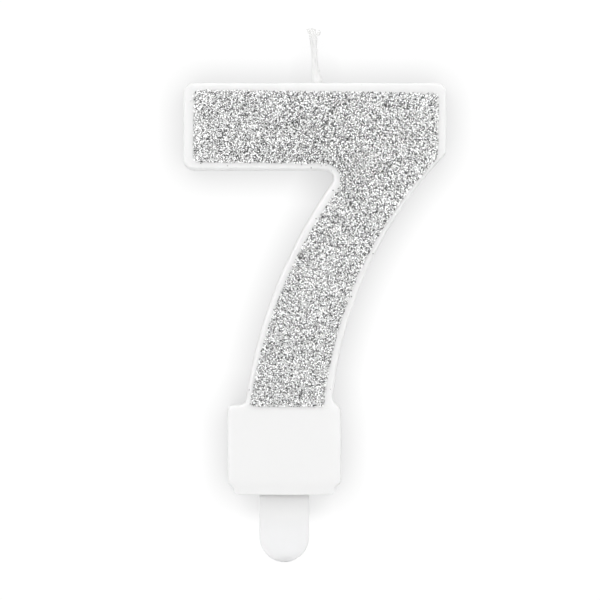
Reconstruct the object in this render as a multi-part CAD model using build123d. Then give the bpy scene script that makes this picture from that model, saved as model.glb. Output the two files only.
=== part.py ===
from build123d import *

import math
import os

# Moulded wax number candle: a figure 7 on a block base, with glitter, wick and cake pick.
#
# Frame: millimetres, +Z up, front face towards -Y. The origin is the centre of the base's
# underside, which is the plane that rests on the icing. The pick hangs below it.

# Wax casting, seen from the front
WAX_HEIGHT = 70.0  # underside of the base to the top of the bar
BAR_LEFT = 17.2  # centre line of the base to the bar's left end
BAR_RIGHT = 27.6  # centre line of the base to the bar's right end
BAR_HEIGHT = 14.9  # top of the bar to its underside
STROKE_CROOK = 9.6  # X where the stroke's left edge meets the bar's underside
STROKE_SHOULDER = 12.0  # top of the bar to where its right end meets the stroke
NECK_LEFT = 6.65  # stroke's left edge at the base, from the centre line
NECK_RIGHT = 8.2  # stroke's right edge at the base, from the centre line
INNER_RADIUS = 84.0  # curve of the stroke's left edge
OUTER_RADIUS = 69.7  # curve of the stroke's right edge
BASE_WIDTH = 19.4
BASE_HEIGHT = 15.4
BASE_LEFT_SLOPE = 0.2  # height over which the base's top falls, left of the stroke
BASE_RIGHT_SLOPE = 1.2  # and right of it
FOOT_HEIGHT = 1.3  # narrower foot of the base
FOOT_INSET = 1.0  # on each side
FOOT_RISE = 0.8  # height over which the base widens from its foot

# Wax casting, through its thickness
WAX_THICKNESS = 9.0
FACE_ROUND = 0.5  # round around the front and back faces

# Corner radii of the outline
BAR_CORNER = 1.9
SHOULDER_CORNER = 1.5
CROOK_CORNER = 1.4
NECK_LEFT_CORNER = 0.95  # inside corners between the stroke and the base
NECK_RIGHT_CORNER = 1.5
BASE_LEFT_CORNER = 0.95  # top corners of the base
BASE_RIGHT_CORNER = 1.3
HEEL_CORNER = 0.6  # bottom corners of the base, above the foot
INSTEP_CORNER = 0.5  # inside corners between the foot and the base
FOOT_CORNER = 0.85

# Glitter
GLITTER_MARGIN = 1.55  # bare wax left around the glitter, measured from the outline
GLITTER_END_MARGIN = 2.3  # bare wax left at the bar's right end
GLITTER_STROKE_MARGIN = 1.15  # bare wax left along the stroke's left edge
GLITTER_FOOT = 0.2  # gap between the glitter's lower edge and the top of the base
STENCIL_TURN = 0.8  # degrees that the glitter's stencil sits askew, right end down
STENCIL_PIVOT = 25.0  # height at which the turned stencil is not shifted sideways
STENCIL_DROP = 0.25  # distance that the stencil sits low
LACQUER_THICKNESS = 0.12
FLAKE_LAYER_THICKNESS = 0.25

# Wick: cotton braid in a coat of priming wax
WICK_DIAMETER = 0.8
COAT_THICKNESS = 0.1
WICK_BARE_TIP = 1.8  # end of the braid that the coat leaves bare
WICK_STUB = 9.5  # height of the braid's tip above the bar
WICK_FOOT_X = 5.5  # where the wick leaves the top of the bar
WICK_LEAN = 0.75  # the tip stands this far to the left of the foot
WICK_END_GAP = 2.0  # wax between the wick's lower end and the pick's pocket
COLLAR_HEIGHT = 3.0  # wax drawn up around the foot of the wick
COLLAR_RADIUS = 0.95
COLLAR_TOP_WALL = 0.09

# Cake pick
PICK_WIDTH = 8.5
PICK_THICKNESS = 1.4
PICK_EXPOSED = 11.4  # underside of the base to the pick's tip
PICK_SEATED = 12.8  # length of the pick inside the base
PICK_LEAD = 1.2  # chamfer on the corners of the seated end
PICK_EDGE_ROUND = 0.25
PICK_CLEARANCE = 0.05  # on each side, in the base's pocket
POCKET_END_GAP = 0.1  # above the seated pick

BAR_UNDERSIDE = WAX_HEIGHT - BAR_HEIGHT
HALF_BASE = BASE_WIDTH / 2
HALF_THICKNESS = WAX_THICKNESS / 2
POCKET_DEPTH = PICK_SEATED + POCKET_END_GAP
COAT_DIAMETER = WICK_DIAMETER + 2 * COAT_THICKNESS


def curve_centre(low, high, radius):
    """Centre, on the right, of the arc of that radius from low to high."""
    (x0, z0), (x1, z1) = low, high
    half = math.hypot(x1 - x0, z1 - z0) / 2
    reach = math.sqrt(radius**2 - half**2)
    along_x, along_z = (x1 - x0) / (2 * half), (z1 - z0) / (2 * half)
    return (x0 + x1) / 2 + along_z * reach, (z0 + z1) / 2 - along_x * reach


def stroke_edges(left_inset, right_inset):
    """The stroke's left and right edges as (centre x, centre z, radius), each moved inwards."""
    crook = (STROKE_CROOK, BAR_UNDERSIDE)
    shoulder = (BAR_RIGHT, WAX_HEIGHT - STROKE_SHOULDER)
    left = curve_centre((-NECK_LEFT, BASE_HEIGHT), crook, INNER_RADIUS)
    right = curve_centre((NECK_RIGHT, BASE_HEIGHT), shoulder, OUTER_RADIUS)
    return (*left, INNER_RADIUS - left_inset), (*right, OUTER_RADIUS + right_inset)


def edge_x(edge, z):
    """X of a stroke edge at height z."""
    centre_x, centre_z, radius = edge
    return centre_x - math.sqrt(radius**2 - (z - centre_z) ** 2)


def edge_z(edge, x):
    """Height at which a stroke edge, in its upper half, reaches x."""
    centre_x, centre_z, radius = edge
    return centre_z + math.sqrt(radius**2 - (centre_x - x) ** 2)


def stroke_arc(edge, start_z, end_z):
    """A stroke edge between two heights."""
    heights = (start_z, (start_z + end_z) / 2, end_z)
    return ThreePointArc(*[(edge_x(edge, z), z) for z in heights])


def numeral_face(insets, foot_heights, foot_points, corner_radii):
    """The figure's outline, moved inwards, closed through foot_points below the stroke.

    insets holds how far it moves in all round, at the bar's right end and along the stroke's
    left edge, and foot_heights the heights at which the stroke's left and right edges end.
    corner_radii holds the radii of the bar's three corners, the shoulder and the crook, then of
    the ends of the stroke's left and right edges, then of each foot point.
    """
    inset, end_inset, stroke_inset = insets
    left_z, right_z = foot_heights
    left_edge, right_edge = stroke_edges(stroke_inset, inset)
    top = WAX_HEIGHT - inset
    underside = BAR_UNDERSIDE + inset
    left, right = -BAR_LEFT + inset, BAR_RIGHT - end_inset
    shoulder = (right, edge_z(right_edge, right))
    crook = (edge_x(left_edge, underside), underside)
    right_foot = (edge_x(right_edge, right_z), right_z)
    left_foot = (edge_x(left_edge, left_z), left_z)
    face = make_face(
        [
            *Polyline(crook, (left, underside), (left, top), (right, top), shoulder).edges(),
            stroke_arc(right_edge, shoulder[1], right_z),
            *Polyline(right_foot, *foot_points, left_foot).edges(),
            stroke_arc(left_edge, left_z, underside),
        ]
    )
    bar, at_shoulder, at_crook, at_left_foot, at_right_foot, at_points = corner_radii
    rounded = [((left, underside), bar), ((left, top), bar), ((right, top), bar)]
    rounded += [(shoulder, at_shoulder), (crook, at_crook)]
    rounded += [(left_foot, at_left_foot), (right_foot, at_right_foot)]
    rounded += list(zip(foot_points, at_points))
    for (x, z), radius in rounded:
        if radius:
            corner = face.vertices().sort_by_distance((x, z))[0]
            face = fillet(corner, radius)
    return face


def casting_face():
    """Outline of the wax: the figure on its base, which narrows to a foot."""
    half_foot = HALF_BASE - FOOT_INSET
    right_foot = [(HALF_BASE, FOOT_HEIGHT + FOOT_RISE), (half_foot, FOOT_HEIGHT), (half_foot, 0)]
    left_foot = [(-x, z) for x, z in reversed(right_foot)]
    right_top = (HALF_BASE, BASE_HEIGHT - BASE_RIGHT_SLOPE / 2)
    left_top = (-HALF_BASE, BASE_HEIGHT - BASE_LEFT_SLOPE / 2)
    foot_radii = [HEEL_CORNER, INSTEP_CORNER, FOOT_CORNER]
    base_radii = [BASE_RIGHT_CORNER, *foot_radii, *reversed(foot_radii), BASE_LEFT_CORNER]
    neck_heights = (BASE_HEIGHT + BASE_LEFT_SLOPE / 2, BASE_HEIGHT + BASE_RIGHT_SLOPE / 2)
    radii = (BAR_CORNER, SHOULDER_CORNER, CROOK_CORNER, NECK_LEFT_CORNER, NECK_RIGHT_CORNER, base_radii)
    return numeral_face((0, 0, 0), neck_heights, [right_top, *right_foot, *left_foot, left_top], radii)


def glitter_face():
    """Outline of the glitter: the stencil, a little askew, which ends level above the base."""
    corner = max(BAR_CORNER - GLITTER_MARGIN, 0)
    radii = (corner, 0, CROOK_CORNER + GLITTER_MARGIN, 0, 0, [])
    feet = (BASE_HEIGHT / 2, BASE_HEIGHT / 2)
    margins = (GLITTER_MARGIN, GLITTER_END_MARGIN, GLITTER_STROKE_MARGIN)
    stencil = numeral_face(margins, feet, [], radii)
    middle = Pos((BAR_RIGHT - BAR_LEFT) / 2, STENCIL_PIVOT)
    turned = Pos(0, -STENCIL_DROP) * middle * Rot(Z=-STENCIL_TURN) * middle.inverse() * stencil
    foot_z = BASE_HEIGHT - GLITTER_FOOT
    below = Pos(0, foot_z) * Rectangle(2 * BASE_WIDTH, BASE_HEIGHT, align=(Align.CENTER, Align.MAX))
    return turned - below


def wick_route():
    """Centre line of the wick, from its tip down through the stroke to just above the pocket."""
    left_edge, right_edge = stroke_edges(0, 0)

    def in_stroke(z, share):
        """Point at height z, that share of the way from the stroke's left edge to its right."""
        start, end = edge_x(left_edge, z), edge_x(right_edge, z)
        return start + share * (end - start), z

    bar_middle = BAR_UNDERSIDE + 0.06 * BAR_HEIGHT
    span = BAR_UNDERSIDE - BASE_HEIGHT
    points = [
        (WICK_FOOT_X - WICK_LEAN, WAX_HEIGHT + WICK_STUB),
        (WICK_FOOT_X - 0.25 * WICK_LEAN, WAX_HEIGHT + 0.5 * WICK_STUB),
        (WICK_FOOT_X, WAX_HEIGHT - 1.0),
        in_stroke(bar_middle, 0.16),
        in_stroke(BAR_UNDERSIDE - 0.32 * span, 0.34),
        in_stroke(BAR_UNDERSIDE - 0.66 * span, 0.46),
        (0.0, POCKET_DEPTH + WICK_END_GAP),
    ]
    places = [Vector(x, 0, z) for x, z in points]
    radii = []
    for before, corner, after in zip(places, places[1:], places[2:]):
        shorter = min((corner - before).length, (after - corner).length)
        half_turn = math.radians((corner - before).get_angle(after - corner)) / 2
        radii.append(0.45 * shorter / math.tan(half_turn))
    return FilletPolyline(*places, radius=radii)


def tube(route, diameter):
    """A round bar along the wick's route."""
    return sweep(Plane(route @ 0, z_dir=route % 0) * Circle(diameter / 2), path=route)


def pocket():
    """The space in the base that takes the pick."""
    width = PICK_WIDTH + 2 * PICK_CLEARANCE
    thickness = PICK_THICKNESS + 2 * PICK_CLEARANCE
    bottom = Align.MIN
    return Box(width, thickness, POCKET_DEPTH, align=(Align.CENTER, Align.CENTER, bottom))


def collar(route):
    """Cone of wax drawn up around the foot of the wick, rooted in the bar."""
    foot = Vector(WICK_FOOT_X, 0, WAX_HEIGHT)
    lean = Vector(-WICK_LEAN / WICK_STUB, 0, 1)
    root = FACE_ROUND
    top_radius = COAT_DIAMETER / 2 + COLLAR_TOP_WALL
    cone = Cone(COLLAR_RADIUS, top_radius, COLLAR_HEIGHT, align=(Align.CENTER, Align.CENTER, Align.MIN))
    stem = Cylinder(COLLAR_RADIUS, root, align=(Align.CENTER, Align.CENTER, Align.MAX))
    return Plane(foot, z_dir=lean) * (cone + stem)


def wax_body(route):
    """The casting: figure, base and collar, less the pocket and the wick's channel."""
    slab = extrude(Plane.XZ * casting_face(), HALF_THICKNESS, both=True)
    slab = fillet(slab.faces().filter_by(Axis.Y).edges(), FACE_ROUND)
    return slab + collar(route) - pocket() - tube(route, COAT_DIAMETER)


def layer(face, back_y, thickness):
    """A flat layer of that outline, from back_y towards the front."""
    return extrude(Plane.XZ.offset(-back_y) * face, thickness)


def cake_pick():
    """Flat moulded blade with a full round tip and a seated end with cut corners."""
    half = PICK_WIDTH / 2
    outline = make_face(
        [
            *Polyline(
                (-half, half - PICK_EXPOSED),
                (-half, PICK_SEATED - PICK_LEAD),
                (PICK_LEAD - half, PICK_SEATED),
                (half - PICK_LEAD, PICK_SEATED),
                (half, PICK_SEATED - PICK_LEAD),
                (half, half - PICK_EXPOSED),
            ).edges(),
            ThreePointArc((half, half - PICK_EXPOSED), (0, -PICK_EXPOSED), (-half, half - PICK_EXPOSED)),
        ]
    )
    blade = extrude(Plane.XZ * outline, PICK_THICKNESS / 2, both=True)
    return fillet(blade.faces().filter_by(Axis.Y).edges(), PICK_EDGE_ROUND)


def wick_coat(route):
    """Sleeve of priming wax on the braid, from below the bare tip to the lower end."""
    sleeve = tube(route, COAT_DIAMETER) - tube(route, WICK_DIAMETER)
    top = WAX_HEIGHT + WICK_STUB - WICK_BARE_TIP
    bare = Pos(WICK_FOOT_X, 0, top) * Box(
        BASE_WIDTH, WAX_THICKNESS, WICK_STUB, align=(Align.CENTER, Align.CENTER, Align.MIN)
    )
    return sleeve - bare


def main():
    route = wick_route()
    front = -HALF_THICKNESS
    glitter = glitter_face()
    parts = {
        "wax_body": wax_body(route),
        "glitter_lacquer": layer(glitter, front, LACQUER_THICKNESS),
        "glitter_flakes": layer(glitter, front - LACQUER_THICKNESS, FLAKE_LAYER_THICKNESS),
        "wick_braid": tube(route, WICK_DIAMETER),
        "wick_coat": wick_coat(route),
        "cake_pick": cake_pick(),
    }
    os.makedirs("parts", exist_ok=True)
    for name, shape in parts.items():
        export_step(shape, f"parts/{name}.step")


main()
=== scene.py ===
"""Number candle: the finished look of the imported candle, laid out as a Blender add-on."""
import math
import random

import bmesh
import bpy
from bpy.props import FloatProperty, FloatVectorProperty, IntProperty, PointerProperty
from mathutils import Matrix, Vector, noise
from mathutils.bvhtree import BVHTree


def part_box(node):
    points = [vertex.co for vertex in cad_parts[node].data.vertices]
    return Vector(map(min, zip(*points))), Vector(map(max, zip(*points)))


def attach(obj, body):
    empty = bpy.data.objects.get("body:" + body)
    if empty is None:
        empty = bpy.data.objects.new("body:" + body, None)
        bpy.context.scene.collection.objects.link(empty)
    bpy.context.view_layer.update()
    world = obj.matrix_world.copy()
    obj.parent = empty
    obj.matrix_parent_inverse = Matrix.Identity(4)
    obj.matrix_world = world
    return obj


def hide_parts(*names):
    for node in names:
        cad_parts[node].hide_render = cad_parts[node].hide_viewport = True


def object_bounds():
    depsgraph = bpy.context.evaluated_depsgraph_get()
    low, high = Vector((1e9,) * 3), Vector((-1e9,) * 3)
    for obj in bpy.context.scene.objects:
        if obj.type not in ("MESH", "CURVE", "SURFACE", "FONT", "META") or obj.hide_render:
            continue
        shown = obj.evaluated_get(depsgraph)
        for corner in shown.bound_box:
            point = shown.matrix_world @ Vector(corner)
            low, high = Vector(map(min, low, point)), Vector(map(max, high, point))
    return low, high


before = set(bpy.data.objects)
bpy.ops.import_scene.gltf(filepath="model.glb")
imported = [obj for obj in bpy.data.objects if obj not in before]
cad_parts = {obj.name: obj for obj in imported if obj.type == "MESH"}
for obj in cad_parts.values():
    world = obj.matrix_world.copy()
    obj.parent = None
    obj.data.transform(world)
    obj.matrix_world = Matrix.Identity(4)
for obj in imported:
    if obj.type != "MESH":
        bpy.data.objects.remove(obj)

bl_info = {
    "name": "Number Candle",
    "version": (1, 0, 0),
    "blender": (4, 5, 0),
    "location": "View3D > Sidebar > Candle",
    "description": "Dresses a packed number candle with wax, glitter, a cotton wick and a plastic pick",
    "category": "Object",
}

CAD_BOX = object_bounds()
MM = 0.001
CANDLE, PICK = "candle", "cake_pick"
WAX_LOW, WAX_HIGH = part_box("wax_body")
FLAKES_LOW, FLAKES_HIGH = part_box("glitter_flakes")
BRAID_LOW, BRAID_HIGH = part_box("wick_braid")
COAT_LOW, COAT_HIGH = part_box("wick_coat")
PICK_LOW, PICK_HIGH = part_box("cake_pick")
BAR_TOP = 70 * MM
BACK_FACE = WAX_HIGH.y
GLITTER_PIECES = (
    "glitter_top", "glitter_bar", "glitter_bar_foot", "glitter_crook",
    "glitter_stroke", "glitter_knee", "glitter_shin", "glitter_foot",
)
FLAKE_TONES = 64
BAKE_MAP = "OFBake"

# The casting
POCKET_HALF_DEPTH, POCKET_HALF_WIDTH, POCKET_TOP = 1.0 * MM, 5 * MM, 13.5 * MM
SEAM_SPREAD = 0.4 * MM
DISH_MIDDLE, DISH_WIDTH, DISH_HEIGHT = 0.6 * MM, 8.0 * MM, 3.2 * MM
TAPER_HEIGHT = 2.6 * MM

# The glitter
LOWER_SPACING = 1.12
FLAKE_JITTER = 0.3
EDGE_RING, STRAY_RING = 0.3 * MM, 1.0 * MM
EDGE_BARE = 0.7
EDGE_THINNING = 0.4
LOWER_LOOSENESS = 0.3
STRAY_SCATTER = 0.6 * MM
STEEPEST_FLAKE = math.radians(38)
# Painted shade: a share of the flakes are painted near black, for flakes that lie in shade and flakes that
# reflect dark surroundings, with more of them round one middle; the rest are the silver's own tone, varied
# at random
PAINTED_SHADE_FLAKES, EXTRA_PAINTED_SHADE_FLAKES = 0.23, 0.1
PAINTED_SHADE_MIDDLE, PAINTED_SHADE_REACH = (5 * MM, 58 * MM), 24 * MM
PAINTED_SHADE_TONES, BRIGHT_TONES = (0.0, 0.12), (0.85, 1.0)

# The wick, from its spine out to its wax. The sleeve's figures are in millimetres.
SPINE_POINTS, COAT_STEPS = 90, 60
YARNS = 8
YARN_ORBIT, YARN_WEAVE = 0.2 * MM, 0.055 * MM
FAN_FIRST, FAN_STEP, FAN_DEPTH = -1.2 * MM, 0.24 * MM, 0.07 * MM
HOOK_RADIUS = 0.46 * MM
FRAY_STEPS = 14
WICK_BOW, BOW_REACH = 0.16 * MM, 4.3 * MM
SLEEVE, CONE, CONE_HEIGHT = 0.42, 0.6, 2.3
FLARE, FLARE_HEIGHT = 0.24, 2.6
UNDERCUT, UNDERCUT_HEIGHT = 0.16, 0.3
BURIED_SLEEVE = 0.48
COAT_WAVES = 0.07 * MM
BEAD_RISES = (0.3 * MM, 1.3 * MM, 2.1 * MM, 5.7 * MM)
BEAD_SIZE, BEAD_SPREAD = 0.13 * MM, 0.3 * MM

# Painted light: between these heights the pick's colour grows lighter towards its top, for light that the
# wax above lets down into it
PICK_PAINTED_LIGHT_LOW, PICK_PAINTED_LIGHT_HIGH = -5.5 * MM, -0.5 * MM


# ---------------------------------------------------------------- settings


def length(name, description, default, low=0.0, high=1.0):
    return FloatProperty(
        name=name, description=description, default=default, min=low, max=high, unit="LENGTH", precision=6
    )


def colour(name, description, default):
    return FloatVectorProperty(
        name=name, description=description, default=default, min=0.0, max=1.0, subtype="COLOR"
    )


def angle(name, description, degrees):
    return FloatProperty(
        name=name, description=description, default=math.radians(degrees), subtype="ANGLE", unit="ROTATION"
    )


class CandleSizes(bpy.types.PropertyGroup):
    wax_mesh: length("Wax mesh", "Edge length of the casting's mesh", 0.26 * MM, 0.1 * MM)
    wax_draft: angle("Wax draft", "How far the sides lean in from the mould's parting line", 1.3)
    parting_line: length("Parting line", "Height of the seam that the mould's halves leave", 0.05 * MM)
    wax_waviness: length("Wax waviness", "Height of the slow waves that cooling leaves", 0.025 * MM)
    base_dish: length("Base dish", "Depth of the dish in the base's front, under the glitter", 0.045 * MM)
    base_taper: length("Base taper", "How far the base's faces draw in above the underside", 0.32 * MM)
    back_sink: length("Back sink", "Depth to which shrinking wax pulls the back in", 0.12 * MM)
    flake_width: length("Flake width", "Across the corners of a glitter flake", 0.205 * MM)
    flake_thickness: length("Flake thickness", "Thickness of a glitter flake", 0.02 * MM)
    flake_spacing: length("Flake spacing", "Distance between flakes of a layer", 0.18 * MM, 0.15 * MM)
    flake_tilt: angle("Flake tilt", "Usual lean of an upper flake", 19.0)
    stray_count: IntProperty(name="Stray flakes", description="Flakes that lie on the bare rim", default=26)
    yarn_radius: length("Yarn radius", "Radius of one of the braid's eight yarns", 0.115 * MM)
    braid_pitch: length("Braid pitch", "Length in which a yarn goes once round the braid", 3.0 * MM)
    fray_height: length("Fray height", "Length of the braid that has come apart at the tip", 2.9 * MM)
    pick_lead: length("Pick lead", "Cut on the corners of the pick's seated end", 1.2 * MM)
    pick_edge: length("Pick edge", "Softening along the pick's edges", 0.22 * MM)


class CandleColours(bpy.types.PropertyGroup):
    wax: colour("Wax", "Bleached paraffin wax", (0.94, 0.94, 0.935))
    wick_wax: colour("Wick wax", "Harder, greyer wax of the primed wick", (0.88, 0.88, 0.875))
    silver: colour("Silver", "Brightest flakes", (0.99, 0.99, 0.99))
    # Painted shade: the darkest flakes' near-black silver stands in for flakes in shade and for dark
    # reflections
    shade: colour("Silver shade", "Darkest flakes", (0.05, 0.05, 0.05))
    cotton: colour("Cotton", "Bleached cotton braid", (0.97, 0.97, 0.96))
    pick: colour("Pick", "Frosted polypropylene", (0.915, 0.92, 0.94))
    # Painted light: the pick's colour at its top, lighter than the pick, for the light the wax above passes
    # down and against the shade under the base
    pick_painted_light: colour("Pick's top", "The pick where the wax above it lights it", (0.995, 0.999, 0.995))


class CandleStage(bpy.types.PropertyGroup):
    lens: FloatProperty(name="Lens", description="Focal length", default=300.0, unit="CAMERA")
    view_width: length("View width", "Width of the picture at the candle's front", 101.45 * MM)
    view_left: length("View left", "The picture's middle, left of the candle's middle", 2.53 * MM)
    view_down: length("View down", "The picture's middle, below the candle's middle", 0.95 * MM)
    floor_radius: length("Floor radius", "Radius of the pale floor", 2.0, high=10.0)
    halo_reach: length("Halo reach", "How far the candle's soft shadow spreads on the backdrop", 6.0 * MM)
    floor: colour("Floor", "Pale floor", (0.85, 0.85, 0.85))
    card: colour("Card", "Backdrop", (0.93, 0.93, 0.93))
    light: FloatProperty(name="Light", description="Strength of the soft light", default=1.07)


# ---------------------------------------------------------------- meshes


def node_mesh(node):
    """A bmesh of a CAD node with its loose triangles joined."""
    bm = bmesh.new()
    bm.from_mesh(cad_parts[node].data)
    bmesh.ops.remove_doubles(bm, verts=bm.verts, dist=1e-6)
    return bm


def add_object(name, bm):
    """A smooth-shaded object made of a bmesh, at the origin."""
    mesh = bpy.data.meshes.new(name)
    bm.to_mesh(mesh)
    bm.free()
    mesh.shade_smooth()
    made = bpy.data.objects.new(name, mesh)
    bpy.context.scene.collection.objects.link(made)
    return made


def finish_piece(made, body, slot, material, *nodes):
    """Gives a piece its material, hangs it on the body it rides on and hides the CAD nodes it stands for.
    """
    made.data.materials.clear()
    made.data.materials.append(material)
    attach(made, body)
    if nodes:
        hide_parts(*nodes)


def tube(bm, path, radii, sides, layer):
    """A closed round tube along path. Each point keeps its place round the tube and along it in layer."""
    up = Vector((0, 0, 1))
    turn = up.rotation_difference(path[1] - path[0])
    ring, edges, along = [], [], 0.0
    for i, (point, radius) in enumerate(zip(path, radii)):
        ahead = path[min(i + 1, len(path) - 1)] - path[max(i - 1, 0)]
        turn = (turn @ up).rotation_difference(ahead) @ turn
        if i == 0:
            ring = bmesh.ops.create_circle(bm, segments=sides, radius=1.0, cap_ends=True)["verts"]
            for v in ring:
                v[layer] = v.co
            edges = list({e for v in ring for e in v.link_edges})
        else:
            along += (point - path[i - 1]).length
            made = bmesh.ops.extrude_edge_only(bm, edges=edges)["geom"]
            ring = [g for g in made if isinstance(g, bmesh.types.BMVert)]
            rim = set(ring)
            edges = [g for g in made if isinstance(g, bmesh.types.BMEdge) and set(g.verts) <= rim]
        place = Matrix.Translation(point) @ turn.to_matrix().to_4x4()
        for v in ring:
            round_it = Vector((v[layer].x, v[layer].y, 0))
            v.co = place @ (round_it * radius)
            v[layer] = (round_it.x, round_it.y, along / MM)
    bmesh.ops.contextual_create(bm, geom=edges)
    bmesh.ops.recalc_face_normals(bm, faces=bm.faces)


# ---------------------------------------------------------------- shader parts


def add(tree, kind, place, **settings):
    node = tree.nodes.new(kind)
    node.location = place
    for name, value in settings.items():
        setattr(node, name, value)
    return node


def group_tree(name, inputs, outputs):
    """An empty shader group with its sockets, and its two end nodes."""
    group = bpy.data.node_groups.new(name, "ShaderNodeTree")
    for label, kind, default in inputs:
        socket = group.interface.new_socket(name=label, in_out="INPUT", socket_type=kind)
        socket.default_value = default
    for label, kind in outputs:
        group.interface.new_socket(name=label, in_out="OUTPUT", socket_type=kind)
    return group, add(group, "NodeGroupInput", (-900, 0)), add(group, "NodeGroupOutput", (600, 0))


def cast_surface_group():
    """Slow mottling and fine grain of a cast or moulded surface: a height, a mask and a roughness."""
    group, start, end = group_tree(
        "cast_surface",
        [
            ("Vector", "NodeSocketVector", (0, 0, 0)),
            ("Mottle Scale", "NodeSocketFloat", 180.0),
            ("Grain Scale", "NodeSocketFloat", 2600.0),
            ("Low Roughness", "NodeSocketFloat", 0.36),
            ("High Roughness", "NodeSocketFloat", 0.5),
        ],
        [("Height", "NodeSocketFloat"), ("Mottle", "NodeSocketFloat"), ("Roughness", "NodeSocketFloat")],
    )
    link = group.links.new
    mottle = add(group, "ShaderNodeTexNoise", (-600, 200), noise_dimensions="3D")
    mottle.inputs["Detail"].default_value = 4.0
    grain = add(group, "ShaderNodeTexNoise", (-600, -150), noise_dimensions="3D")
    grain.inputs["Detail"].default_value = 2.0
    both = add(group, "ShaderNodeMath", (-200, -50), operation="MULTIPLY_ADD")
    both.inputs[1].default_value = 0.25
    rough = add(group, "ShaderNodeMapRange", (0, -250))
    rough.inputs["From Min"].default_value = 0.35
    rough.inputs["From Max"].default_value = 0.65
    link(start.outputs["Vector"], mottle.inputs["Vector"])
    link(start.outputs["Vector"], grain.inputs["Vector"])
    link(start.outputs["Mottle Scale"], mottle.inputs["Scale"])
    link(start.outputs["Grain Scale"], grain.inputs["Scale"])
    link(grain.outputs["Fac"], both.inputs[0])
    link(mottle.outputs["Fac"], both.inputs[2])
    link(mottle.outputs["Fac"], rough.inputs["Value"])
    link(start.outputs["Low Roughness"], rough.inputs["To Min"])
    link(start.outputs["High Roughness"], rough.inputs["To Max"])
    link(both.outputs[0], end.inputs["Height"])
    link(mottle.outputs["Fac"], end.inputs["Mottle"])
    link(rough.outputs["Result"], end.inputs["Roughness"])
    return group


def rub_marks_group():
    """Faint long marks that handling and packing leave: a mask that is 1 on a mark."""
    group, start, end = group_tree(
        "rub_marks",
        [("Vector", "NodeSocketVector", (0, 0, 0)), ("Scale", "NodeSocketFloat", 120.0)],
        [("Marks", "NodeSocketFloat")],
    )
    link = group.links.new
    turned = add(group, "ShaderNodeMapping", (-700, 0))
    turned.inputs["Rotation"].default_value = (0.4, 0.9, 0.2)
    turned.inputs["Scale"].default_value = (1.0, 1.0, 9.0)
    streaks = add(group, "ShaderNodeTexNoise", (-450, 0), noise_dimensions="3D")
    streaks.inputs["Detail"].default_value = 3.0
    streaks.inputs["Distortion"].default_value = 0.6
    keep = add(group, "ShaderNodeMapRange", (-150, 0))
    keep.inputs["From Min"].default_value = 0.64
    keep.inputs["From Max"].default_value = 0.74
    link(start.outputs["Vector"], turned.inputs["Vector"])
    link(turned.outputs["Vector"], streaks.inputs["Vector"])
    link(start.outputs["Scale"], streaks.inputs["Scale"])
    link(streaks.outputs["Fac"], keep.inputs["Value"])
    link(keep.outputs["Result"], end.inputs["Marks"])
    return group


def pin_holes_group():
    """Rare round holes that bubbles leave in wax: a mask that is 1 in a hole, where the wax is painted with
    shade.
    """
    group, start, end = group_tree(
        "pin_holes",
        [("Vector", "NodeSocketVector", (0, 0, 0)), ("Scale", "NodeSocketFloat", 260.0)],
        [("Holes", "NodeSocketFloat")],
    )
    link = group.links.new
    cells = add(group, "ShaderNodeTexVoronoi", (-450, 0), voronoi_dimensions="3D", feature="F1")
    near = add(group, "ShaderNodeMapRange", (-150, 0))
    near.inputs["From Min"].default_value = 0.045
    near.inputs["From Max"].default_value = 0.02
    link(start.outputs["Vector"], cells.inputs["Vector"])
    link(start.outputs["Scale"], cells.inputs["Scale"])
    link(cells.outputs["Distance"], near.inputs["Value"])
    link(near.outputs["Result"], end.inputs["Holes"])
    return group


def shared(name, build):
    return bpy.data.node_groups.get(name) or build()


def use_group(tree, name, build, place, **values):
    node = add(tree, "ShaderNodeGroup", place, node_tree=shared(name, build))
    for label, value in values.items():
        node.inputs[label.replace("_", " ")].default_value = value
    return node


def new_material(name):
    """A material with an empty Principled shader, and the Object coordinates it reads."""
    material = bpy.data.materials.new(name)
    material.use_nodes = True
    tree = material.node_tree
    shader = tree.nodes["Principled BSDF"]
    shader.location = (400, 0)
    tree.nodes["Material Output"].location = (750, 0)
    place = add(tree, "ShaderNodeTexCoord", (-1100, 0))
    return material, tree, shader, place.outputs["Object"]


def mixed_colour(tree, place, mask, low, high):
    """A colour that goes from low to high with the mask."""
    mix = add(tree, "ShaderNodeMix", place, data_type="RGBA")
    mix.inputs[6].default_value = (*low, 1.0)
    mix.inputs[7].default_value = (*high, 1.0)
    tree.links.new(mask, mix.inputs[0])
    return mix.outputs[2]


def bumped(tree, place, height, strength, distance, under=None):
    bump = add(tree, "ShaderNodeBump", place)
    bump.inputs["Strength"].default_value = strength
    bump.inputs["Distance"].default_value = distance
    tree.links.new(height, bump.inputs["Height"])
    if under:
        tree.links.new(under, bump.inputs["Normal"])
    return bump.outputs["Normal"]


# ---------------------------------------------------------------- materials


def shaded(colour_value, share):
    return tuple(c * share for c in colour_value)


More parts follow.
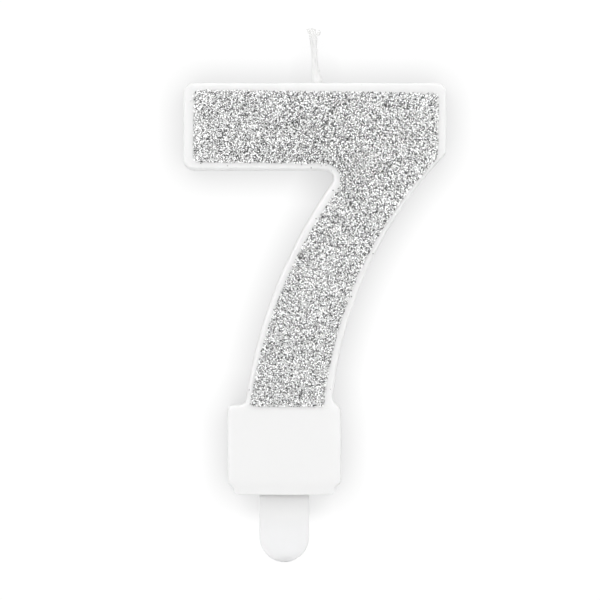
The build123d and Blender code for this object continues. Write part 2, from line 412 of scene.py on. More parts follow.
def wax_material(name, wax, mottle_scale, glow, glow_depth):
    """Satin wax, with painted shade in its pin holes. glow is the share of light that goes into it, and
    glow_depth how far.
    """
    material, tree, shader, coords = new_material(name)
    link = tree.links.new
    surface = use_group(
        tree, "cast_surface", cast_surface_group, (-700, 100),
        Mottle_Scale=mottle_scale, Grain_Scale=2400.0, Low_Roughness=0.34, High_Roughness=0.48,
    )
    marks = use_group(tree, "rub_marks", rub_marks_group, (-700, -250), Scale=150.0)
    holes = use_group(tree, "pin_holes", pin_holes_group, (-700, 400))
    link(coords, surface.inputs["Vector"])
    link(coords, marks.inputs["Vector"])
    link(coords, holes.inputs["Vector"])
    body = mixed_colour(tree, (-300, 300), surface.outputs["Mottle"], shaded(wax, 0.985), wax)
    # Painted shade: the wax is darkened inside each pin hole, which has no depth of its own
    hole_painted_shade = mixed_colour(tree, (-50, 400), holes.outputs["Holes"], wax, shaded(wax, 0.6))
    tree.links.new(body, hole_painted_shade.node.inputs[6])
    link(hole_painted_shade, shader.inputs["Base Color"])
    rubbed = add(tree, "ShaderNodeMath", (-100, -50), operation="MULTIPLY_ADD")
    rubbed.inputs[1].default_value = 0.1
    link(marks.outputs["Marks"], rubbed.inputs[0])
    link(surface.outputs["Roughness"], rubbed.inputs[2])
    link(rubbed.outputs[0], shader.inputs["Roughness"])
    link(bumped(tree, (100, -300), surface.outputs["Height"], 0.35, 0.06 * MM), shader.inputs["Normal"])
    shader.inputs["IOR"].default_value = 1.43
    shader.inputs["Subsurface Weight"].default_value = glow
    shader.inputs["Subsurface Radius"].default_value = (1.0, 1.0, 1.0)
    shader.inputs["Subsurface Scale"].default_value = glow_depth
    return material


def lacquer_material():
    material, tree, shader, coords = new_material("clear_lacquer")
    link = tree.links.new
    surface = use_group(
        tree, "cast_surface", cast_surface_group, (-700, 100),
        Mottle_Scale=420.0, Grain_Scale=1500.0, Low_Roughness=0.08, High_Roughness=0.2,
    )
    link(coords, surface.inputs["Vector"])
    link(
        mixed_colour(tree, (-100, 300), surface.outputs["Mottle"], (0.86, 0.86, 0.86), (0.94, 0.94, 0.94)),
        shader.inputs["Base Color"],
    )
    link(surface.outputs["Roughness"], shader.inputs["Roughness"])
    link(bumped(tree, (100, -300), surface.outputs["Height"], 0.5, 0.08 * MM), shader.inputs["Normal"])
    shader.inputs["IOR"].default_value = 1.48
    shader.inputs["Alpha"].default_value = 0.2
    return material


def flake_material(silver, shade):
    material, tree, shader, coords = new_material("silver_glitter")
    link = tree.links.new
    tone = add(tree, "ShaderNodeAttribute", (-700, 250), attribute_name="flake_tone")
    # Painted shade: each flake's colour goes from the near-black shade colour to silver with its tone
    link(mixed_colour(tree, (-100, 300), tone.outputs["Fac"], shade, silver), shader.inputs["Base Color"])
    surface = use_group(
        tree, "cast_surface", cast_surface_group, (-700, -100),
        Mottle_Scale=1500.0, Grain_Scale=9000.0, Low_Roughness=0.04, High_Roughness=0.14,
    )
    link(coords, surface.inputs["Vector"])
    link(surface.outputs["Roughness"], shader.inputs["Roughness"])
    link(bumped(tree, (100, -300), surface.outputs["Height"], 0.25, 0.02 * MM), shader.inputs["Normal"])
    shader.inputs["Metallic"].default_value = 1.0
    return material


def cotton_material(cotton):
    material, tree, shader, _ = new_material("cotton_braid")
    link = tree.links.new
    yarn = add(tree, "ShaderNodeAttribute", (-1100, -200), attribute_name="yarn_place")
    twisted = add(tree, "ShaderNodeMapping", (-850, -100))
    twisted.inputs["Scale"].default_value = (2.4, 2.4, 1.1)
    fibres = add(tree, "ShaderNodeTexNoise", (-600, -100), noise_dimensions="3D")
    fibres.inputs["Scale"].default_value = 2.2
    fibres.inputs["Detail"].default_value = 3.0
    fibres.inputs["Distortion"].default_value = 1.2
    link(yarn.outputs["Vector"], twisted.inputs["Vector"])
    link(twisted.outputs["Vector"], fibres.inputs["Vector"])
    link(
        mixed_colour(tree, (-100, 300), fibres.outputs["Fac"], shaded(cotton, 0.92), cotton),
        shader.inputs["Base Color"],
    )
    link(bumped(tree, (100, -300), fibres.outputs["Fac"], 0.5, 0.04 * MM), shader.inputs["Normal"])
    shader.inputs["Roughness"].default_value = 0.8
    shader.inputs["Sheen Weight"].default_value = 0.25
    return material


def pick_material(pick, pick_painted_light):
    material, tree, shader, coords = new_material("frosted_plastic")
    link = tree.links.new
    surface = use_group(
        tree, "cast_surface", cast_surface_group, (-700, 100),
        Mottle_Scale=260.0, Grain_Scale=5200.0, Low_Roughness=0.3, High_Roughness=0.42,
    )
    marks = use_group(tree, "rub_marks", rub_marks_group, (-700, -250), Scale=260.0)
    link(coords, surface.inputs["Vector"])
    link(coords, marks.inputs["Vector"])
    body = mixed_colour(tree, (-300, 300), surface.outputs["Mottle"], shaded(pick, 0.98), pick)
    # Painted light: from the lower height to the upper one the colour goes over to the lighter top colour
    place = add(tree, "ShaderNodeSeparateXYZ", (-900, 500))
    below = add(tree, "ShaderNodeMapRange", (-700, 500), interpolation_type="SMOOTHSTEP")
    below.inputs["From Min"].default_value = PICK_PAINTED_LIGHT_LOW
    below.inputs["From Max"].default_value = PICK_PAINTED_LIGHT_HIGH
    link(coords, place.inputs[0])
    link(place.outputs["Z"], below.inputs["Value"])
    lit = mixed_colour(tree, (-50, 400), below.outputs["Result"], pick, pick_painted_light)
    link(body, lit.node.inputs[6])
    link(lit, shader.inputs["Base Color"])
    rubbed = add(tree, "ShaderNodeMath", (-100, -50), operation="MULTIPLY_ADD")
    rubbed.inputs[1].default_value = 0.12
    link(marks.outputs["Marks"], rubbed.inputs[0])
    link(surface.outputs["Roughness"], rubbed.inputs[2])
    link(rubbed.outputs[0], shader.inputs["Roughness"])
    link(bumped(tree, (100, -300), surface.outputs["Height"], 0.3, 0.03 * MM), shader.inputs["Normal"])
    shader.inputs["IOR"].default_value = 1.49
    shader.inputs["Subsurface Weight"].default_value = 1.0
    shader.inputs["Subsurface Radius"].default_value = (1.0, 1.0, 1.0)
    shader.inputs["Subsurface Scale"].default_value = 3.0 * MM
    return material


# ---------------------------------------------------------------- pieces


class CANDLE_OT_cast_wax(bpy.types.Operator):
    """Cast the wax figure and its base, with draft, a parting line, slow waves and sunken faces"""

    bl_idname = "candle.cast_wax"
    bl_label = "Cast Wax"

    def execute(self, context):
        sizes, colours = context.scene.candle_sizes, context.scene.candle_colours
        blank = node_mesh("wax_body")
        surface = BVHTree.FromBMesh(blank)
        trim_collar(blank)
        made = add_object("wax_casting", even_mesh(blank, sizes.wax_mesh))
        shape_wax(made.data, surface, sizes)
        wax = wax_material("white_wax", colours.wax, mottle_scale=170.0, glow=0.6, glow_depth=0.8 * MM)
        finish_piece(made, CANDLE, "white_wax", wax, "wax_body")
        return {"FINISHED"}


def trim_collar(bm):
    """Cuts away the wax drawn up round the wick, which the wick's coat carries."""
    cut = bmesh.ops.bisect_plane(
        bm, geom=[*bm.verts, *bm.edges, *bm.faces], plane_co=(0, 0, BAR_TOP - 0.01 * MM),
        plane_no=(0, 0, 1), clear_outer=True,
    )
    rim = [g for g in cut["geom_cut"] if isinstance(g, bmesh.types.BMEdge)]
    bmesh.ops.triangle_fill(bm, edges=rim, use_beauty=True, normal=(0, 0, 1))


def even_mesh(bm, edge):
    """A bmesh of the same shape in even quads of that edge length."""
    blank = add_object("blank", bm)
    remesh = blank.modifiers.new("even", "REMESH")
    remesh.mode = "VOXEL"
    remesh.voxel_size = edge
    mesh = bpy.data.meshes.new_from_object(blank.evaluated_get(bpy.context.evaluated_depsgraph_get()))
    even = bmesh.new()
    even.from_mesh(mesh)
    bpy.data.meshes.remove(mesh)
    bpy.data.objects.remove(blank)
    return even


def hump(distance, reach):
    """1 at no distance, falling smoothly to 0 at reach."""
    share = min(abs(distance) / reach, 1.0)
    return (1 - share * share) ** 2


def shape_wax(mesh, surface, sizes):
    """Lays the casting's points on the CAD surface, then gives them draft, a seam, waves and sink."""
    for v in mesh.vertices:
        on_it, normal, _, _ = surface.find_nearest(v.co)
        if on_it.z > BAR_TOP - 0.05 * MM:
            on_it, normal = v.co.copy(), Vector((0, 0, 1))
        in_slot = abs(on_it.y) < POCKET_HALF_DEPTH and abs(on_it.x) < POCKET_HALF_WIDTH
        in_pocket = in_slot and on_it.z < POCKET_TOP
        v.co = on_it if in_pocket else on_it + wax_relief(on_it, normal, sizes)


def wax_relief(at, normal, sizes):
    """How far the cast surface lies from the drawn one."""
    sideways = Vector((normal.x, 0, normal.z))
    move = -sideways * abs(at.y) * math.tan(sizes.wax_draft)
    move += sideways * sizes.parting_line * (hump(at.y, SEAM_SPREAD) - 0.3)
    waves = noise.noise(at * 110.0) + 0.5 * noise.noise(at * 300.0)
    move -= normal * sizes.wax_waviness * (0.6 + 0.6 * waves)
    if normal.y < -0.9 and at.z < FLAKES_LOW.z:
        across = hump(at.x - DISH_MIDDLE, DISH_WIDTH)
        move.y += sizes.base_dish * across * hump(at.z - FLAKES_LOW.z + DISH_MIDDLE, DISH_HEIGHT)
    move.y -= math.copysign(sizes.base_taper, at.y) * abs(normal.y) * hump(at.z, TAPER_HEIGHT)
    if normal.y > 0.9:
        move.y -= sizes.back_sink * (0.5 + 0.5 * noise.noise(at * 75.0))
    return move


class CANDLE_OT_brush_lacquer(bpy.types.Operator):
    """Give the lacquer film under the glitter its clear gloss"""

    bl_idname = "candle.brush_lacquer"
    bl_label = "Brush Lacquer"

    def execute(self, context):
        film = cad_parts["glitter_lacquer"]
        film.material_slots[0].material = lacquer_material()
        return {"FINISHED"}


class CANDLE_OT_sprinkle_glitter(bpy.types.Operator):
    """Sprinkle hexagonal silver flakes over the lacquer, in two overlapping layers"""

    bl_idname = "candle.sprinkle_glitter"
    bl_label = "Sprinkle Glitter"

    def execute(self, context):
        sizes, colours = context.scene.candle_sizes, context.scene.candle_colours
        silver = flake_material(colours.silver, colours.shade)
        field = BVHTree.FromBMesh(node_mesh("glitter_flakes"))
        spots = flake_spots(field, sizes, random.Random(70))
        spots.sort(key=lambda spot: -spot["height"])
        blanks = flake_blanks()
        share = math.ceil(len(spots) / len(GLITTER_PIECES))
        for i, name in enumerate(GLITTER_PIECES):
            made = add_object(name, lay_flakes(spots[i * share : (i + 1) * share], blanks))
            made.data.shade_flat()
            nodes = ["glitter_flakes"] if i == 0 else []
            finish_piece(made, CANDLE, "silver_glitter", silver, *nodes)
        for blank in blanks:
            bpy.data.meshes.remove(blank)
        return {"FINISHED"}


def on_field(field, x, z):
    """Whether the glitter's outline holds that place on the front."""
    return field.ray_cast(Vector((x, FLAKES_LOW.y - MM, z)), Vector((0, 1, 0)))[0] is not None


def bareness(field, x, z, reach):
    """Share of a ring round that place that lies outside the glitter: about a half at its edge."""
    turns = [math.tau * i / 8 for i in range(8)]
    return sum(not on_field(field, x + reach * math.cos(t), z + reach * math.sin(t)) for t in turns) / 8


def flake_spots(field, sizes, draw):
    """Where each flake lies, how it leans and how bright it is: two jittered layers, then the strays."""
    spots = []
    for upper, spacing in ((False, sizes.flake_spacing * LOWER_SPACING), (True, sizes.flake_spacing)):
        z, row = FLAKES_LOW.z, 0
        while z < FLAKES_HIGH.z + spacing:
            x = FLAKES_LOW.x - spacing * (1 + row % 2) / 2
            while x < FLAKES_HIGH.x + spacing:
                spot_x = x + draw.gauss(0, FLAKE_JITTER) * spacing
                spot_z = z + draw.gauss(0, FLAKE_JITTER) * spacing
                x += spacing
                edge = bareness(field, spot_x, spot_z, EDGE_RING)
                if edge > EDGE_BARE or draw.random() < edge * EDGE_THINNING:
                    continue
                loose = 1 - edge if upper else LOWER_LOOSENESS
                spots.append(flake_spot(spot_x, spot_z, loose, sizes, draw))
            z += spacing * math.sqrt(3) / 2
            row += 1
    while sum(spot["stray"] for spot in spots) < sizes.stray_count:
        spot_x = draw.uniform(FLAKES_LOW.x, FLAKES_HIGH.x) + draw.gauss(0, STRAY_SCATTER)
        spot_z = draw.uniform(FLAKES_LOW.z, FLAKES_HIGH.z) + draw.gauss(0, STRAY_SCATTER)
        outside = bareness(field, spot_x, spot_z, EDGE_RING) > EDGE_BARE
        if outside and bareness(field, spot_x, spot_z, STRAY_RING) < 1:
            spots.append(flake_spot(spot_x, spot_z, 0.0, sizes, draw, stray=True))
    return spots


def flake_spot(x, z, loose, sizes, draw, stray=False):
    """One flake: its place, turn and size as a matrix, and its tone. A looser one lies further out."""
    lean = min(abs(draw.gauss(0, sizes.flake_tilt * (0.5 + 0.5 * loose))), STEEPEST_FLAKE)
    reach = sizes.flake_width / 2 * math.sin(lean) + sizes.flake_thickness
    front, back = FLAKES_LOW.y + reach, FLAKES_HIGH.y - 0.2 * reach
    depth = back + (front - back) * loose * draw.uniform(0.2, 0.8)
    if stray:
        lean, depth = 0.4 * lean, WAX_LOW.y - 0.4 * sizes.flake_thickness
    radius = sizes.flake_width / 2 * draw.uniform(0.8, 1.12)
    place = (
        Matrix.Translation((x, depth, z))
        @ Matrix.Rotation(draw.uniform(0, math.tau), 4, "Y")
        @ Matrix.Rotation(lean + math.pi / 2, 4, "X")
        @ Matrix.Rotation(draw.uniform(0, math.tau), 4, "Z")
        @ Matrix.Diagonal((radius, radius, sizes.flake_thickness, 1))
    )
    # Painted shade: the dark tones are painted shade and dark reflections, given to more flakes near one
    # middle
    off_middle = math.dist((x, z), PAINTED_SHADE_MIDDLE)
    painted_shade_share = PAINTED_SHADE_FLAKES + EXTRA_PAINTED_SHADE_FLAKES * hump(off_middle, PAINTED_SHADE_REACH)
    tone = draw.uniform(*(PAINTED_SHADE_TONES if draw.random() < painted_shade_share else BRIGHT_TONES))
    return {"place": place, "tone": tone, "stray": stray, "height": z}


def flake_blanks():
    """A closed flake of radius and thickness 1 for each tone, with a cell of its own on its UV map."""
    blanks = []
    cells = math.ceil(math.sqrt(FLAKE_TONES))
    for i in range(FLAKE_TONES):
        bm = bmesh.new()
        tones = bm.verts.layers.float.new("flake_tone")
        cell_map = bm.loops.layers.uv.new(BAKE_MAP)
        front = bmesh.ops.create_circle(bm, cap_ends=True, segments=6, radius=1.0)["verts"]
        copy = bmesh.ops.extrude_face_region(bm, geom=bm.faces[:], use_keep_orig=True)["geom"]
        back = [g for g in copy if isinstance(g, bmesh.types.BMVert)]
        bmesh.ops.translate(bm, verts=back, vec=(0, 0, 1))
        bmesh.ops.recalc_face_normals(bm, faces=bm.faces)
        for ring, drawn in ((front, 0.46), (back, 0.36)):
            for v in ring:
                v[tones] = (i + 0.5) / FLAKE_TONES
                spot = (i % cells + v.co.x * drawn + 0.5, i // cells + v.co.y * drawn + 0.5)
                for loop in v.link_loops:
                    loop[cell_map].uv = (spot[0] / cells, spot[1] / cells)
        mesh = bpy.data.meshes.new("flake_blank")
        bm.to_mesh(mesh)
        bm.free()
        blanks.append(mesh)
    return blanks


def lay_flakes(spots, blanks):
    """One bmesh of all these flakes, each a copy of the blank of its tone."""
    whole = bmesh.new()
    whole.verts.layers.float.new("flake_tone")
    whole.loops.layers.uv.new(BAKE_MAP)
    for spot in spots:
        flake = blanks[int(spot["tone"] * FLAKE_TONES * 0.999)].copy()
        flake.transform(spot["place"])
        whole.from_mesh(flake)
        bpy.data.meshes.remove(flake)
    return whole


def centre_line(node, heights):
    """The middle of a tube-shaped CAD node at each height."""
    middles = []
    whole = node_mesh(node)
    for z in heights:
        bm = whole.copy()
        cut = bmesh.ops.bisect_plane(
            bm, geom=[*bm.verts, *bm.edges, *bm.faces], plane_co=(0, 0, z), plane_no=(0, 0, 1)
        )
        rim = [g.co for g in cut["geom_cut"] if isinstance(g, bmesh.types.BMVert)]
        low = Vector(min(c[i] for c in rim) for i in range(3))
        high = Vector(max(c[i] for c in rim) for i in range(3))
        middles.append((low + high) / 2)
        bm.free()
    whole.free()
    return middles


def wick_spine():
    """Heights and middles of the wick, from its buried end to its tip."""
    low, high = BRAID_LOW.z + 0.4 * MM, BRAID_HIGH.z - 0.4 * MM
    heights = [low + (high - low) * i / (SPINE_POINTS - 1) for i in range(SPINE_POINTS)]
    return heights, centre_line("wick_braid", heights)


def along_spine(heights, middles, z):
    """The wick's middle at any height. The free stub bows a little to the left."""
    bow = Vector((-WICK_BOW * hump(z - BAR_TOP - BOW_REACH, BOW_REACH), 0, 0))
    step = heights[1] - heights[0]
    place = min(max((z - heights[0]) / step, 0.0), len(heights) - 1.001)
    i = int(place)
    beyond = Vector((0, 0, z - min(max(z, heights[0]), heights[-1])))
    return middles[i].lerp(middles[i + 1], place - i) + beyond + bow


class CANDLE_OT_braid_wick(bpy.types.Operator):
    """Braid eight cotton yarns along the wick, and fray them at the tip"""

    bl_idname = "candle.braid_wick"
    bl_label = "Braid Wick"

    def execute(self, context):
        sizes, colours = context.scene.candle_sizes, context.scene.candle_colours
        bm = bmesh.new()
        bm.verts.layers.float_vector.new("yarn_place")
        spine = wick_spine()
        draw = random.Random(7)
        for yarn in range(YARNS):
            path, radii = yarn_path(yarn, spine, sizes, draw)
            strand = bmesh.new()
            own = strand.verts.layers.float_vector.new("yarn_place")
            tube(strand, path, radii, 6, own)
            mesh = bpy.data.meshes.new("yarn")
            strand.to_mesh(mesh)
            bm.from_mesh(mesh)
            bpy.data.meshes.remove(mesh)
            strand.free()
        made = add_object("wick_yarns", bm)
        finish_piece(made, CANDLE, "cotton_braid", cotton_material(colours.cotton), "wick_braid")
        return {"FINISHED"}


def yarn_path(yarn, spine, sizes, draw):
    """One yarn of the braid: half of them wind one way and half the other, over and under."""
    heights, middles = spine
    way = 1 if yarn % 2 == 0 else -1
    start = math.pi / 2 * (yarn // 2)
    low, high = heights[0], BRAID_HIGH.z - sizes.fray_height
    count = int((high - low) / sizes.braid_pitch * 20)
    path = []
    for i in range(count):
        z = low + (high - low) * i / (count - 1)
        turn = math.tau * (z - low) / sizes.braid_pitch
        out = YARN_ORBIT + way * YARN_WEAVE * math.cos(4 * turn)
        round_it = way * turn + start
        off_axis = Vector((out * math.cos(round_it), out * math.sin(round_it), 0))
        path.append(along_spine(heights, middles, z) + off_axis)
    radii = [sizes.yarn_radius] * count
    frayed = curled_end if yarn == YARNS - 1 else fanned_end
    tip = path[-1]
    off_axis = tip - along_spine(heights, middles, high)
    for i in range(1, FRAY_STEPS + 1):
        share = i / FRAY_STEPS
        path.append(tip - off_axis * share + frayed(yarn, share, sizes.fray_height, draw))
        radii.append(sizes.yarn_radius * (1.7 - 0.45 * share * share))
    return path, radii


def fanned_end(yarn, share, height, draw):
    """A loose yarn's end, which leans out to its own place in a flat fan."""
    reach = FAN_FIRST + FAN_STEP * yarn
    wobble = Vector((draw.gauss(0, 0.008), draw.gauss(0, 0.01), 0)) * MM
    across = reach * share**1.6
    rise = height * share * (0.9 + 0.04 * math.sin(5 * yarn))
    return Vector((across, FAN_DEPTH * math.sin(2.3 * yarn) * share, rise)) + wobble


def curled_end(yarn, share, height, draw):
    """The end of the yarn that curls over to the right in a small hook."""
    turn = math.pi * (1.05 - 1.75 * share)
    rise = min(share * 2, 1) * 0.68 * height + HOOK_RADIUS * math.sin(turn)
    across = HOOK_RADIUS * (1 + math.cos(turn)) + 0.1 * MM
    return Vector((across, 0.12 * MM * share, rise))


class CANDLE_OT_coat_wick(bpy.types.Operator):
    """Coat the wick in wax, drawn up in a cone where it leaves the bar"""

    bl_idname = "candle.coat_wick"
    bl_label = "Coat Wick"

    def execute(self, context):
        colours = context.scene.candle_colours
        heights, middles = wick_spine()
        stub = COAT_HIGH.z - BAR_TOP
        foot = BAR_TOP - 0.3 * MM
        low = COAT_LOW.z + 0.2 * MM
        buried = [low + (BAR_TOP - COAT_LOW.z) * i / COAT_STEPS for i in range(COAT_STEPS)]
        free = [BAR_TOP + stub * i / COAT_STEPS for i in range(COAT_STEPS + 1)]
        levels = [z for z in buried if z < foot] + [foot] + free
        path = [along_spine(heights, middles, z) for z in levels]
        bm = bmesh.new()
        place = bm.verts.layers.float_vector.new("yarn_place")
        tube(bm, path, [coat_radius(z) for z in levels], 24, place)
        for v in bm.verts:
            if v.co.z > BAR_TOP:
                waves = noise.noise(v.co * 900.0) + 0.6 * noise.noise(v.co * 2600.0)
                v.co += v.normal * COAT_WAVES * waves
            bead = sum(hump(v.co.z - BAR_TOP - rise, BEAD_SPREAD) for rise in BEAD_RISES)
            v.co += v.normal * BEAD_SIZE * bead * max(v.normal.x, 0) ** 4
        made = add_object("wick_wax", bm)
        wax = wax_material(
            "wick_wax", colours.wick_wax, mottle_scale=900.0, glow=0.25, glow_depth=0.15 * MM
        )
        finish_piece(made, CANDLE, "wick_wax", wax, "wick_coat")
        return {"FINISHED"}


def coat_radius(z):
    """Radius of the wick's wax at a height: an undercut cone, a thin sleeve and a flare at the fray."""
    rise = (z - BAR_TOP) / MM
    if rise < -0.35:
        return BURIED_SLEEVE * MM
    stub = (COAT_HIGH.z - BAR_TOP) / MM
    cone = CONE * math.exp(-max(rise, 0) / CONE_HEIGHT)
    flare = FLARE * (max(rise - stub + FLARE_HEIGHT, 0) / FLARE_HEIGHT) ** 1.5
    undercut = UNDERCUT * hump(rise, UNDERCUT_HEIGHT)
    return (SLEEVE + cone + flare - undercut) * MM


class CANDLE_OT_mould_pick(bpy.types.Operator):
    """Mould the flat cake pick, with its full round tip, cut corners and softened edges"""

    bl_idname = "candle.mould_pick"
    bl_label = "Mould Pick"

    def execute(self, context):
        sizes = context.scene.candle_sizes
        bm = bmesh.new()
        half, tip_z = PICK_HIGH.x, PICK_LOW.z + PICK_HIGH.x
        upright = Matrix.Translation((0, PICK_LOW.y, tip_z)) @ Matrix.Rotation(math.pi / 2, 4, "X")
        bmesh.ops.create_circle(bm, cap_ends=True, segments=96, radius=half, matrix=upright)
        cut = bmesh.ops.bisect_plane(
            bm, geom=[*bm.verts, *bm.edges, *bm.faces], plane_co=(0, 0, tip_z), plane_no=(0, 0, 1),
            clear_outer=True,
        )
        top = [g for g in cut["geom_cut"] if isinstance(g, bmesh.types.BMEdge)]
        top = raised(bm, top, PICK_HIGH.z - sizes.pick_lead - tip_z, 1.0)
        raised(bm, top, sizes.pick_lead, 1 - sizes.pick_lead / half)
        bmesh.ops.remove_doubles(bm, verts=bm.verts, dist=1e-6)
        bmesh.ops.recalc_face_normals(bm, faces=bm.faces)
        bmesh.ops.dissolve_faces(bm, faces=bm.faces[:])
        back = bmesh.ops.extrude_face_region(bm, geom=bm.faces[:], use_keep_orig=True)["geom"]
        back = [g for g in back if isinstance(g, bmesh.types.BMVert)]
        bmesh.ops.translate(bm, verts=back, vec=(0, PICK_HIGH.y - PICK_LOW.y, 0))
        bmesh.ops.recalc_face_normals(bm, faces=bm.faces)
        rims = [e for e in bm.edges if abs(e.verts[0].co.y - e.verts[1].co.y) < 1e-7]
        bmesh.ops.bevel(
            bm, geom=rims, offset=sizes.pick_edge, segments=3, profile=0.5, affect="EDGES", material=-1
        )
        flats = sorted(bm.faces, key=lambda f: -f.calc_area())[:2]
        bmesh.ops.inset_individual(bm, faces=flats, thickness=sizes.pick_edge)
        made = add_object("pick_blade", bm)
        colours = context.scene.candle_colours
        plastic = pick_material(colours.pick, colours.pick_painted_light)
        finish_piece(made, PICK, "frosted_plastic", plastic, "cake_pick")
        return {"FINISHED"}


def raised(bm, edges, rise, spread):
    """Extrudes these level edges upwards and spreads the new ones sideways. Returns the new edges."""
    made = bmesh.ops.extrude_edge_only(bm, edges=edges)["geom"]
    fresh = [g for g in made if isinstance(g, bmesh.types.BMVert)]
    for v in fresh:
        v.co = (v.co.x * spread, v.co.y, v.co.z + rise)
    return [g for g in made if isinstance(g, bmesh.types.BMEdge) and set(g.verts) <= set(fresh)]


# ---------------------------------------------------------------- stage


class CANDLE_OT_set_stage(bpy.types.Operator):
    """Set a pale floor, a backdrop, soft light and the camera"""

    bl_idname = "candle.set_stage"
    bl_label = "Set Stage"

    def execute(self, context):
        stage = context.scene.candle_stage
        lay_floor(stage)
        hang_backdrop(stage)
        light_world(context.scene, stage)
        place_camera(context.scene, stage)
        context.scene.view_settings.view_transform = "Standard"
        return {"FINISHED"}


def stage_material(name, paper, shadow_reach, shadow_depth, foot=None):
    """Pale paper. The camera sees it evenly lit, with a soft shadow close to whatever stands by it.

    A hanging card has a foot, the height above which its shadow fades in, and a clear back.
    """
    material = bpy.data.materials.new(name)
    material.use_nodes = True
    tree = material.node_tree
    link = tree.links.new
    shader = tree.nodes["Principled BSDF"]
    shader.inputs["Base Color"].default_value = (*paper, 1)
    shader.inputs["Roughness"].default_value = 0.9
    shader.inputs["Specular IOR Level"].default_value = 0.1
    near = add(tree, "ShaderNodeAmbientOcclusion", (-900, -200), samples=24)
    near.inputs["Distance"].default_value = shadow_reach
    shadow = add(tree, "ShaderNodeMapRange", (-700, -200))
    shadow.inputs["To Min"].default_value = 1.0
    shadow.inputs["To Max"].default_value = 0.0
    level = add(tree, "ShaderNodeMath", (-450, -200), operation="MULTIPLY_ADD")
    level.inputs[1].default_value = -shadow_depth
    level.inputs[2].default_value = 1.03
    lit = add(tree, "ShaderNodeEmission", (-250, -200))
    link(near.outputs["AO"], shadow.inputs["Value"])
    link(shadow.outputs["Result"], level.inputs[0])
    link(level.outputs[0], lit.inputs["Strength"])
    ray = add(tree, "ShaderNodeLightPath", (0, 400))
    seen = add(tree, "ShaderNodeMixShader", (350, 0))
    link(ray.outputs["Is Camera Ray"], seen.inputs[0])
    link(shader.outputs[0], seen.inputs[1])
    link(lit.outputs[0], seen.inputs[2])
    last = seen
    if foot is not None:
        place = add(tree, "ShaderNodeTexCoord", (-1300, -400))
        height = add(tree, "ShaderNodeSeparateXYZ", (-1100, -400))
        fade = add(tree, "ShaderNodeMapRange", (-900, -500), interpolation_type="SMOOTHSTEP")
        fade.inputs["From Min"].default_value = foot
        fade.inputs["From Max"].default_value = foot + 0.75 * shadow_reach
        link(place.outputs["Object"], height.inputs[0])
        link(height.outputs["Z"], fade.inputs["Value"])
        link(fade.outputs["Result"], shadow.inputs["To Min"])
        side = add(tree, "ShaderNodeNewGeometry", (350, 400))
        clear = add(tree, "ShaderNodeBsdfTransparent", (350, -300))
        last = add(tree, "ShaderNodeMixShader", (600, 0))
        link(side.outputs["Backfacing"], last.inputs[0])
        link(seen.outputs[0], last.inputs[1])
        link(clear.outputs[0], last.inputs[2])
    link(last.outputs[0], tree.nodes["Material Output"].inputs["Surface"])
    return material


def lay_floor(stage):
    bm = bmesh.new()
    level = Matrix.Translation((0, 0, CAD_BOX[0].z - 0.05 * MM))
    bmesh.ops.create_circle(bm, cap_ends=True, segments=96, radius=stage.floor_radius, matrix=level)
    floor = add_object("floor", bm)
    floor.data.materials.append(stage_material("pale_floor", stage.floor, 6 * MM, 0.06))


def hang_backdrop(stage):
    """A white card just behind the candle. It shows only from its front, and lights nothing."""
    bm = bmesh.new()
    middle = (WAX_LOW + WAX_HIGH) / 2
    behind = Matrix.Translation((middle.x, BACK_FACE + 0.3 * MM, middle.z))
    place = behind @ Matrix.Rotation(math.pi / 2, 4, "X")
    bmesh.ops.create_grid(bm, x_segments=1, y_segments=1, size=0.12, matrix=place)
    foot = CAD_BOX[0].z + 0.8 * stage.halo_reach
    bmesh.ops.bisect_plane(
        bm, geom=[*bm.verts, *bm.edges, *bm.faces], plane_co=(0, 0, foot), plane_no=(0, 0, -1),
        clear_outer=True,
    )
    card = add_object("backdrop", bm)
    card.data.materials.append(stage_material("backdrop_card", stage.card, stage.halo_reach, 0.42, foot))
    card.visible_diffuse = False
    card.visible_glossy = False
    card.visible_transmission = False
    card.visible_shadow = False


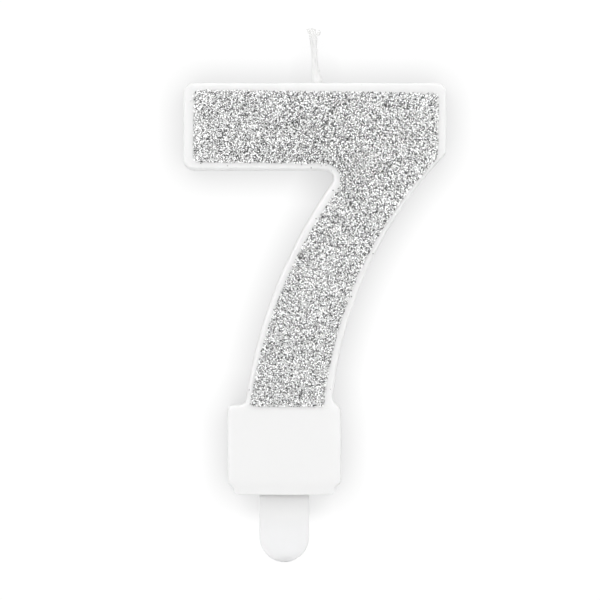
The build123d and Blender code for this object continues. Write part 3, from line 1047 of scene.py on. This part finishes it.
def light_world(scene, stage):
    """Soft light from all round, with dim gaps that the flakes catch. The camera sees plain white."""
    world = bpy.data.worlds.new("studio")
    scene.world = world
    world.use_nodes = True
    tree = world.node_tree
    link = tree.links.new
    soft = tree.nodes["Background"]
    white = add(tree, "ShaderNodeBackground", (0, -200))
    white.inputs["Strength"].default_value = 1.1
    white.inputs["Color"].default_value = (1, 1, 1, 1)
    soft.inputs["Color"].default_value = (1, 1, 1, 1)
    way = add(tree, "ShaderNodeTexCoord", (-1100, 0))
    lean = add(tree, "ShaderNodeVectorMath", (-850, 100), operation="DOT_PRODUCT")
    lean.inputs[1].default_value = (-0.18, -0.98, -0.03)
    level = add(tree, "ShaderNodeMapRange", (-600, 100))
    level.inputs["From Min"].default_value = -0.3
    level.inputs["From Max"].default_value = 0.45
    level.inputs["To Min"].default_value = 0.65 * stage.light
    level.inputs["To Max"].default_value = 1.25 * stage.light
    patches = add(tree, "ShaderNodeTexNoise", (-850, -200), noise_dimensions="3D")
    patches.inputs["Scale"].default_value = 4.5
    patches.inputs["Detail"].default_value = 2.0
    gaps = add(tree, "ShaderNodeMapRange", (-600, -200))
    gaps.inputs["From Min"].default_value = 0.42
    gaps.inputs["From Max"].default_value = 0.54
    gaps.inputs["To Min"].default_value = 0.02
    gaps.inputs["To Max"].default_value = 1.52
    both = add(tree, "ShaderNodeMath", (-300, 0), operation="MULTIPLY")
    link(way.outputs["Generated"], lean.inputs[0])
    link(way.outputs["Generated"], patches.inputs["Vector"])
    link(lean.outputs["Value"], level.inputs["Value"])
    link(patches.outputs["Fac"], gaps.inputs["Value"])
    link(level.outputs["Result"], both.inputs[0])
    link(gaps.outputs["Result"], both.inputs[1])
    link(both.outputs[0], soft.inputs["Strength"])
    ray = add(tree, "ShaderNodeLightPath", (-100, 300))
    choose = add(tree, "ShaderNodeMixShader", (250, 100))
    link(ray.outputs["Is Camera Ray"], choose.inputs[0])
    link(soft.outputs[0], choose.inputs[1])
    link(white.outputs[0], choose.inputs[2])
    link(choose.outputs[0], tree.nodes["World Output"].inputs["Surface"])


def place_camera(scene, stage):
    low, high = CAD_BOX
    middle = (low + high) / 2
    lens = bpy.data.cameras.new("camera")
    lens.lens = stage.lens
    lens.sensor_width = 36.0
    lens.clip_start = 0.01
    camera = bpy.data.objects.new("camera", lens)
    away = stage.view_width * stage.lens / lens.sensor_width
    camera.location = (middle.x - stage.view_left, low.y - away, middle.z - stage.view_down)
    camera.rotation_euler = (math.pi / 2, 0, 0)
    scene.collection.objects.link(camera)
    scene.camera = camera


# ---------------------------------------------------------------- panel and running


class CANDLE_PT_panel(bpy.types.Panel):
    """Number candle"""

    bl_label = "Number Candle"
    bl_space_type = "VIEW_3D"
    bl_region_type = "UI"
    bl_category = "Candle"

    def draw(self, context):
        scene = context.scene
        for operator in OPERATORS:
            self.layout.operator(operator.bl_idname)
        for group in (scene.candle_sizes, scene.candle_colours, scene.candle_stage):
            box = self.layout.box()
            for name in group.bl_rna.properties.keys():
                if name not in {"rna_type", "name"}:
                    box.prop(group, name)


OPERATORS = (
    CANDLE_OT_set_stage,
    CANDLE_OT_cast_wax,
    CANDLE_OT_brush_lacquer,
    CANDLE_OT_sprinkle_glitter,
    CANDLE_OT_braid_wick,
    CANDLE_OT_coat_wick,
    CANDLE_OT_mould_pick,
)
SETTINGS = {"candle_sizes": CandleSizes, "candle_colours": CandleColours, "candle_stage": CandleStage}
CLASSES = (*SETTINGS.values(), *OPERATORS, CANDLE_PT_panel)


def register():
    for kind in CLASSES:
        bpy.utils.register_class(kind)
    for name, kind in SETTINGS.items():
        setattr(bpy.types.Scene, name, PointerProperty(type=kind))


def unregister():
    for name in SETTINGS:
        delattr(bpy.types.Scene, name)
    for kind in reversed(CLASSES):
        bpy.utils.unregister_class(kind)


def main():
    register()
    for operator in OPERATORS:
        group, name = operator.bl_idname.split(".")
        getattr(getattr(bpy.ops, group), name)()


if __name__ == "__main__":
    main()
